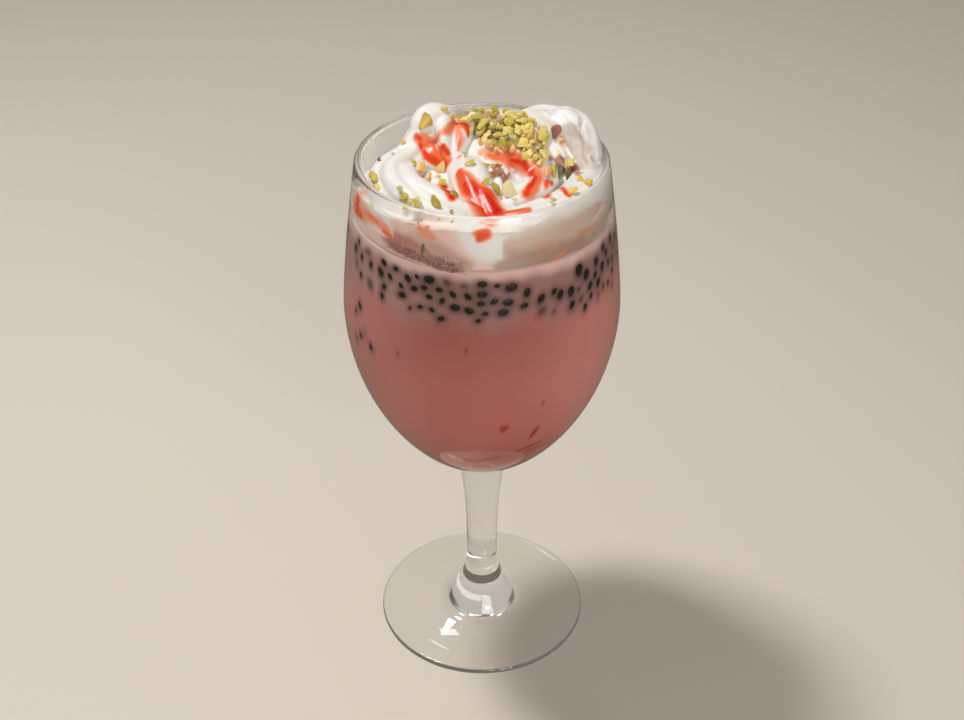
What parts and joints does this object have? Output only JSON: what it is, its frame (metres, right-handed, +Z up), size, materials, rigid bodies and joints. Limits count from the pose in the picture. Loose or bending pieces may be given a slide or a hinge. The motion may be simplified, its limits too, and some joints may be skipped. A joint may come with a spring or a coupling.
{
  "type": "falooda",
  "caption": "Pink milk dessert drink in a clear stemmed glass, with basil seeds, swirled whipped cream, red syrup and chopped pistachios.",
  "frame": {"origin": "centre of the foot's underside, on the surface it stands on", "axes": "+Z up along the stem, -Y towards the side that is seen first"},
  "size_m": [0.079, 0.079, 0.1749],
  "materials": {
    "glass": "clear polished soda-lime glass",
    "rose_milk": "opaque pink milk, darker and redder in the middle",
    "seed_layer": "pale pink milk with black swollen basil seeds",
    "whipped_cream": "white whipped cream with red syrup and green pistachio pieces"
  },
  "bodies": {
    "root": {"glass": "glass", "rose_milk": "rose_milk", "seed_layer": "seed_layer", "whipped_cream": "whipped_cream"}
  },
  "joints": []
}
